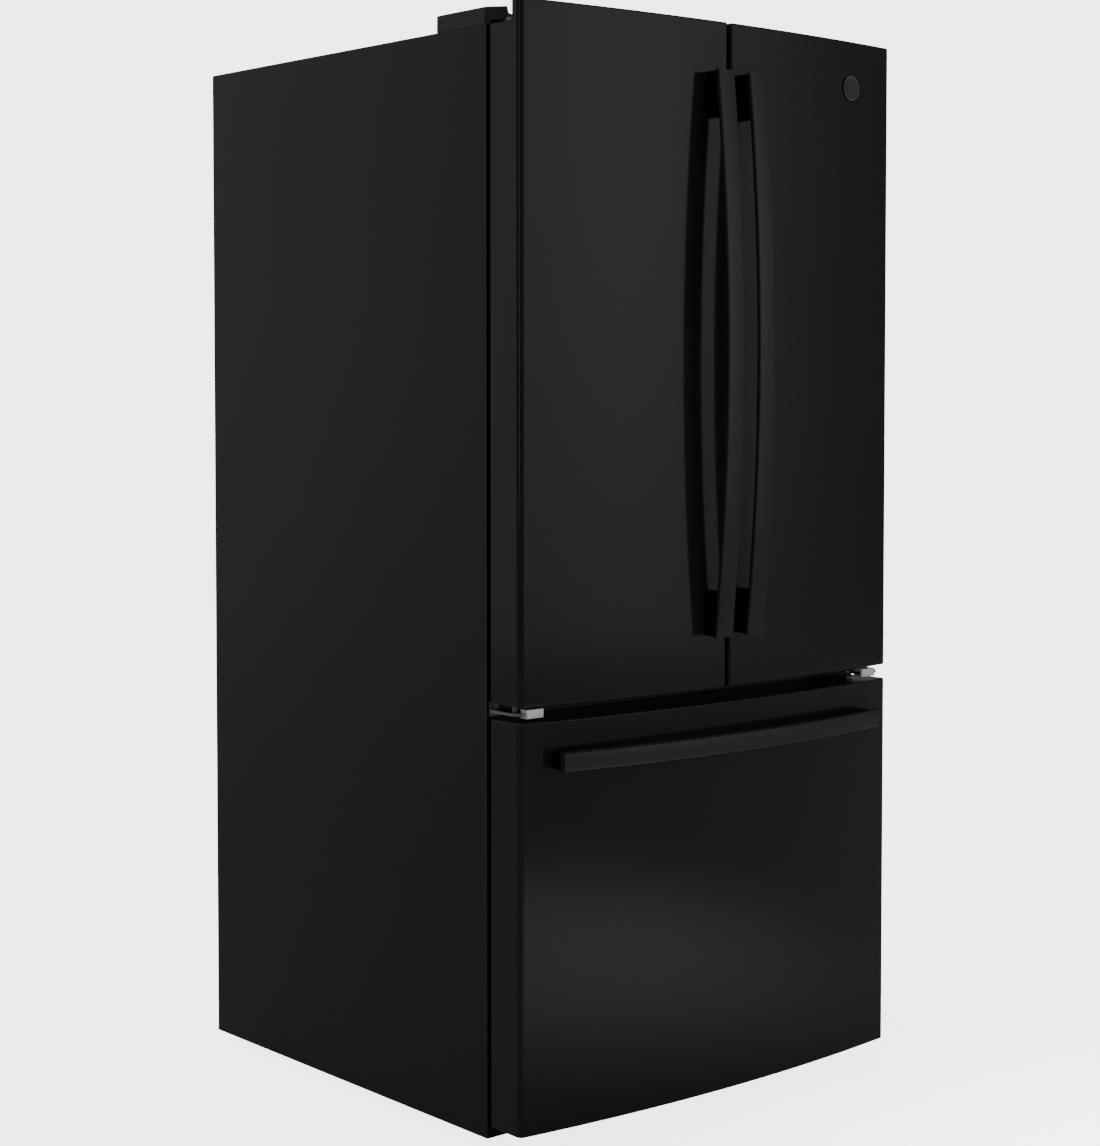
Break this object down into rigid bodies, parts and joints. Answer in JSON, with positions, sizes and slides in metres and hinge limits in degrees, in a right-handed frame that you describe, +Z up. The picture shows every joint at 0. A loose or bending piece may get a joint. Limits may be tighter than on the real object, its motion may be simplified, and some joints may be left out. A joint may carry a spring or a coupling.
{
  "type": "french door refrigerator",
  "caption": "Black french door refrigerator with a bottom freezer drawer, bowed door fronts and bowed bar handles.",
  "frame": {"origin": "on the floor, at the middle of the width and of the whole depth including the handles", "axes": "+Z up, -Y out of the door fronts, +X to the right facing the front"},
  "size_m": [0.832, 0.9435, 1.7752],
  "materials": {
    "black_paint": "satin black paint with a fine grain",
    "black_gloss": "semi-gloss black enamel",
    "handle_black": "satin black powder coat",
    "post_black": "matte black",
    "galvanised": "galvanised steel",
    "zinc": "bright zinc plate",
    "white_metal": "white powder coat",
    "foam": "cut foam",
    "white_plastic": "vacuum-formed white plastic",
    "grey_plastic": "moulded light grey plastic",
    "light_plastic": "moulded pale plastic",
    "black_plastic": "moulded black plastic",
    "clear_plastic": "clear moulded plastic",
    "light_lens": "frosted lens",
    "glass": "clear tempered glass",
    "gasket": "soft black rubber",
    "aluminium": "bare",
    "compressor_paint": "black enamel",
    "badge_metal": "brushed dark grey"
  },
  "bodies": {
    "cabinet": {"case_wrapper": "black_paint", "back_panel": "galvanised", "cabinet_foam": "foam", "fresh_food_liner": "white_plastic", "freezer_liner": "white_plastic", "centre_rail": "black_paint", "base_frame": "galvanised", "machine_cover": "galvanised", "compressor": "compressor_paint", "condenser_coil": "compressor_paint", "fan_shroud": "black_plastic", "drain_pan": "black_plastic", "power_inlet": "black_plastic", "evaporator_coil": "aluminium", "evaporator_cover": "white_plastic", "air_tower": "white_plastic", "control_panel": "grey_plastic", "led_lights": "light_lens", "shelf_ladders": "white_metal", "shelf_frames": "grey_plastic", "shelf_glass": "glass", "drawer_rails": "galvanised", "door_hinges": "zinc", "hinge_covers": "black_plastic", "hinge_caps": "light_plastic", "cabinet_screws": "zinc"},
    "left_door": {"left_door_skin": "black_gloss", "left_door_foam": "foam", "left_door_liner": "white_plastic", "left_door_gasket": "gasket", "left_door_handle_bar": "handle_black", "left_door_handle_posts": "post_black", "left_door_bins": "clear_plastic"},
    "right_door": {"right_door_skin": "black_gloss", "right_door_foam": "foam", "right_door_liner": "white_plastic", "right_door_gasket": "gasket", "right_door_handle_bar": "handle_black", "right_door_handle_posts": "post_black", "right_door_bins": "clear_plastic", "badge": "badge_metal"},
    "flipper": {"flipper_mullion": "grey_plastic"},
    "dairy_lid": {"dairy_lid": "clear_plastic"},
    "freezer_drawer": {"drawer_skin": "black_gloss", "drawer_foam": "foam", "drawer_liner": "white_plastic", "drawer_gasket": "gasket", "drawer_handle_bar": "handle_black", "drawer_handle_posts": "post_black", "drawer_frame": "galvanised", "lower_basket": "white_plastic"},
    "slide_members": {"slide_members": "galvanised"},
    "upper_basket": {"upper_basket": "white_plastic"},
    "crisper_left": {"crisper_left": "clear_plastic"},
    "crisper_right": {"crisper_right": "clear_plastic"},
    "condenser_fan": {"condenser_fan": "black_plastic"},
    "evaporator_fan": {"evaporator_fan": "black_plastic"},
    "rear_rollers": {"rear_rollers": "black_plastic"},
    "leg_left": {"levelling_leg_left": "zinc"},
    "leg_right": {"levelling_leg_right": "zinc"}
  },
  "joints": [
    {"name": "left_door_hinge", "type": "hinge", "parent": "cabinet", "child": "left_door", "pos_m": [-0.398, -0.3572, 0.703], "axis": [0, 0, -1], "range_deg": [0, 120]},
    {"name": "right_door_hinge", "type": "hinge", "parent": "cabinet", "child": "right_door", "pos_m": [0.398, -0.3572, 0.703], "axis": [0, 0, 1], "range_deg": [0, 120]},
    {"name": "flipper_hinge", "type": "hinge", "parent": "left_door", "child": "flipper", "pos_m": [-0.03, -0.3016, 0.7413], "axis": [0, 0, -1], "range_deg": [0, 90]},
    {"name": "dairy_lid_hinge", "type": "hinge", "parent": "right_door", "child": "dairy_lid", "pos_m": [0.2, -0.3042, 1.5635], "axis": [1, 0, 0], "range_deg": [0, 80]},
    {"name": "drawer_slide", "type": "slide", "parent": "cabinet", "child": "freezer_drawer", "axis": [0, -1, 0], "range_m": [0, 0.42]},
    {"name": "slide_member_slide", "type": "slide", "parent": "cabinet", "child": "slide_members", "axis": [0, -1, 0], "range_m": [0, 0.21]},
    {"name": "upper_basket_slide", "type": "slide", "parent": "cabinet", "child": "upper_basket", "axis": [0, -1, 0], "range_m": [0, 0.21]},
    {"name": "crisper_left_slide", "type": "slide", "parent": "cabinet", "child": "crisper_left", "axis": [0, -1, 0], "range_m": [0, 0.215]},
    {"name": "crisper_right_slide", "type": "slide", "parent": "cabinet", "child": "crisper_right", "axis": [0, -1, 0], "range_m": [0, 0.215]},
    {"name": "condenser_fan_spin", "type": "hinge", "parent": "cabinet", "child": "condenser_fan", "pos_m": [0.04, 0.3568, 0.136], "axis": [1, 0, 0], "continuous": true},
    {"name": "evaporator_fan_spin", "type": "hinge", "parent": "cabinet", "child": "evaporator_fan", "pos_m": [0, 0.3238, 0.5988], "axis": [0, 1, 0], "continuous": true},
    {"name": "rear_roller_spin", "type": "hinge", "parent": "cabinet", "child": "rear_rollers", "pos_m": [0, 0.3898, 0.02], "axis": [1, 0, 0], "continuous": true},
    {"name": "leg_left_screw", "type": "hinge", "parent": "cabinet", "child": "leg_left", "pos_m": [-0.346, -0.2382, 0.02], "axis": [0, 0, 1], "continuous": true},
    {"name": "leg_right_screw", "type": "hinge", "parent": "cabinet", "child": "leg_right", "pos_m": [0.346, -0.2382, 0.02], "axis": [0, 0, 1], "continuous": true}
  ],
  "couplings": [
    {"joint": "slide_member_slide", "follows": "drawer_slide", "ratio": 0.5},
    {"joint": "upper_basket_slide", "follows": "drawer_slide", "ratio": 0.5},
    {"joint": "crisper_left_slide", "follows": "left_door_hinge", "m_per_rad": 0.10265},
    {"joint": "crisper_right_slide", "follows": "right_door_hinge", "m_per_rad": 0.10265}
  ]
}
